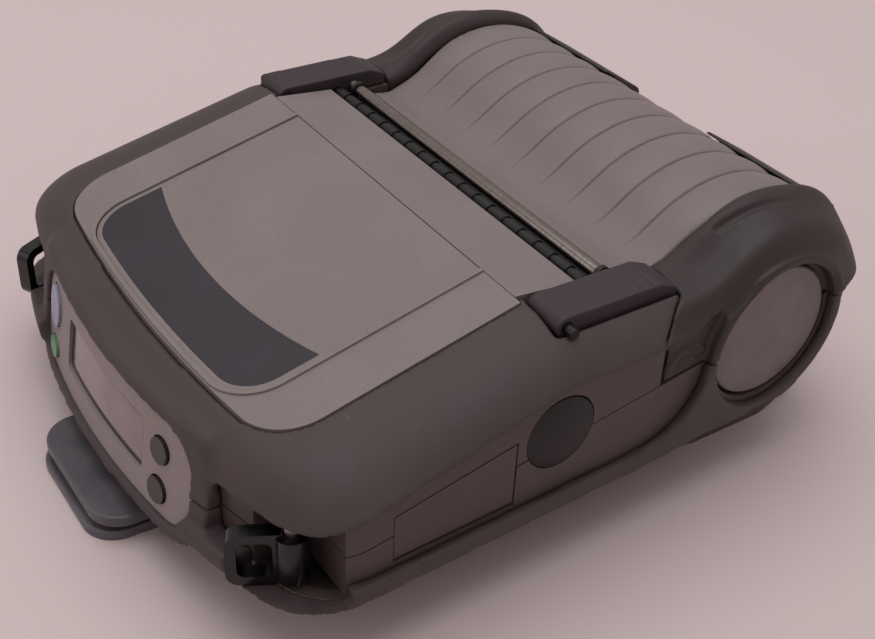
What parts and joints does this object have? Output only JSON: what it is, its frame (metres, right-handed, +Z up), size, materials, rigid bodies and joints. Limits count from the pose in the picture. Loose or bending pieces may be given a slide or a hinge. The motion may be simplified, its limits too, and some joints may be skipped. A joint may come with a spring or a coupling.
{
  "type": "assembly",
  "caption": "Portable label printer with a sloping panel, rubber bumpers, a humped media cover, peeler arms and a belt clip",
  "frame": {"origin": "middle of the printer's bounding box, on the floor it rests on", "axes": "+X to the right seen from the display end, +Y from the display end towards the media bay, +Z up"},
  "size_m": [0.1544, 0.1853, 0.0687],
  "materials": {
    "light_panel": "fine-grained warm grey plastic",
    "dark_rubber": "dark warm grey rubber",
    "crescent": "dark printed film",
    "side_panel": "fine-grained grey plastic",
    "disc": "frosted grey plastic",
    "black_plastic": "black plastic",
    "window": "clear window",
    "board": "green circuit board",
    "bright_steel": "plain steel",
    "head_aluminium": "extruded aluminium",
    "head_ceramic": "glazed ceramic",
    "roller_rubber": "smooth black rubber",
    "gear_plastic": "natural plastic",
    "power_blue": "pale blue plastic",
    "feed_green": "green plastic",
    "button_grey": "grey plastic",
    "eyelet_black": "glossy black plastic"
  },
  "bodies": {
    "housing": {"lower_housing": "light_panel", "lower_bumper": "dark_rubber", "upper_housing": "light_panel", "upper_bumper": "dark_rubber", "top_panel": "light_panel", "insert_panel": "light_panel", "crescent_inlay": "crescent", "printhead_cover": "light_panel", "slot_guide": "black_plastic", "front_bezel": "black_plastic", "display_window": "window", "display_module": "black_plastic", "front_board": "board", "printhead": "head_ceramic", "printhead_heatsink": "head_aluminium", "head_springs": "bright_steel", "main_board": "board", "data_port": "black_plastic", "power_port": "black_plastic", "battery_pack": "black_plastic", "battery_contacts": "bright_steel", "gear_plate": "bright_steel", "idler_axle": "bright_steel", "drive_motor": "bright_steel", "strap_posts": "bright_steel", "case_screws": "bright_steel", "hinge_pins": "bright_steel", "bail_pins": "bright_steel"},
    "media_cover": {"cover_shell": "light_panel", "cover_cheek_right": "dark_rubber", "cover_cheek_left": "dark_rubber", "end_disc_right": "disc", "end_disc_left": "disc", "hinge_tab_right": "dark_rubber", "hinge_tab_left": "dark_rubber", "roller_carrier": "black_plastic", "tear_bar": "bright_steel"},
    "platen": {"platen_roller": "roller_rubber", "platen_shaft": "bright_steel", "platen_gear": "gear_plastic"},
    "idler": {"idler_gear": "gear_plastic"},
    "pinion": {"motor_pinion": "gear_plastic"},
    "bail": {"bail_arm_right": "black_plastic", "bail_arm_left": "black_plastic", "bail_bar": "bright_steel"},
    "bail_sleeve": {"bail_roller": "roller_rubber"},
    "release": {"release_button": "dark_rubber"},
    "power": {"power_button": "power_blue"},
    "feed": {"feed_button": "feed_green"},
    "menu_upper": {"menu_button_upper": "button_grey"},
    "menu_lower": {"menu_button_lower": "button_grey"},
    "door": {"port_cover": "side_panel"},
    "eyelet_right": {"strap_eyelet_right": "eyelet_black"},
    "eyelet_left": {"strap_eyelet_left": "eyelet_black"},
    "clip": {"belt_clip": "black_plastic", "clip_hinge_pin": "bright_steel"},
    "jaw": {"clip_jaw": "black_plastic"},
    "support_right": {"media_disc_right": "black_plastic"},
    "support_left": {"media_disc_left": "black_plastic"}
  },
  "joints": [
    {"name": "cover_open", "type": "hinge", "parent": "housing", "child": "media_cover", "pos_m": [0, 0.086, 0.043], "axis": [-1, 0, 0], "range_deg": [0, 90]},
    {"name": "platen_turn", "type": "hinge", "parent": "media_cover", "child": "platen", "pos_m": [0, 0.0142, 0.049], "axis": [1, 0, 0], "continuous": true},
    {"name": "idler_turn", "type": "hinge", "parent": "housing", "child": "idler", "pos_m": [0, 0.013, 0.0346], "axis": [1, 0, 0], "continuous": true},
    {"name": "pinion_turn", "type": "hinge", "parent": "housing", "child": "pinion", "pos_m": [0, -0.00123, 0.03209], "axis": [1, 0, 0], "continuous": true},
    {"name": "bail_lift", "type": "hinge", "parent": "housing", "child": "bail", "pos_m": [0, -0.0035, 0.0576], "axis": [1, 0, 0], "range_deg": [0, 70]},
    {"name": "bail_roller_turn", "type": "hinge", "parent": "bail", "child": "bail_sleeve", "pos_m": [0, 0.0113, 0.056], "axis": [1, 0, 0], "continuous": true},
    {"name": "release_press", "type": "slide", "parent": "housing", "child": "release", "axis": [-0.9993, -0.0366, 0], "range_m": [0, 0.0025], "stiffness_N_per_m": 900},
    {"name": "power_press", "type": "slide", "parent": "housing", "child": "power", "axis": [0, 1, 0], "range_m": [0, 0.0008], "stiffness_N_per_m": 900},
    {"name": "feed_press", "type": "slide", "parent": "housing", "child": "feed", "axis": [0, 1, 0], "range_m": [0, 0.0008], "stiffness_N_per_m": 900},
    {"name": "menu_upper_press", "type": "slide", "parent": "housing", "child": "menu_upper", "axis": [0, 1, 0], "range_m": [0, 0.0008], "stiffness_N_per_m": 900},
    {"name": "menu_lower_press", "type": "slide", "parent": "housing", "child": "menu_lower", "axis": [0, 1, 0], "range_m": [0, 0.0008], "stiffness_N_per_m": 900},
    {"name": "door_open", "type": "hinge", "parent": "housing", "child": "door", "pos_m": [0.07248, -0.03498, 0.0235], "axis": [-0.0366, 0.9993, 0], "range_deg": [0, 100]},
    {"name": "eyelet_right_swing", "type": "hinge", "parent": "housing", "child": "eyelet_right", "pos_m": [0.0635, -0.067, 0.024], "axis": [0, 0, 1], "range_deg": [0, 105]},
    {"name": "eyelet_left_swing", "type": "hinge", "parent": "housing", "child": "eyelet_left", "pos_m": [-0.0635, -0.067, 0.024], "axis": [0, 0, -1], "range_deg": [0, 105]},
    {"name": "clip_swivel", "type": "hinge", "parent": "housing", "child": "clip", "pos_m": [0, -0.05, 0.006], "axis": [0, 0, 1], "range_deg": [-90, 90]},
    {"name": "jaw_open", "type": "hinge", "parent": "clip", "child": "jaw", "pos_m": [0, -0.0879, 0.0035], "axis": [-1, 0, 0], "range_deg": [0, 10], "stiffness_Nm_per_rad": 0.6},
    {"name": "support_right_slide", "type": "slide", "parent": "housing", "child": "support_right", "axis": [-1, 0, 0], "range_m": [0, 0.02]},
    {"name": "support_left_slide", "type": "slide", "parent": "housing", "child": "support_left", "axis": [1, 0, 0], "range_m": [0, 0.02]}
  ],
  "couplings": [
    {"joint": "idler_turn", "follows": "platen_turn", "ratio": -0.5},
    {"joint": "pinion_turn", "follows": "platen_turn", "ratio": 1},
    {"joint": "support_left_slide", "follows": "support_right_slide", "ratio": 1}
  ]
}
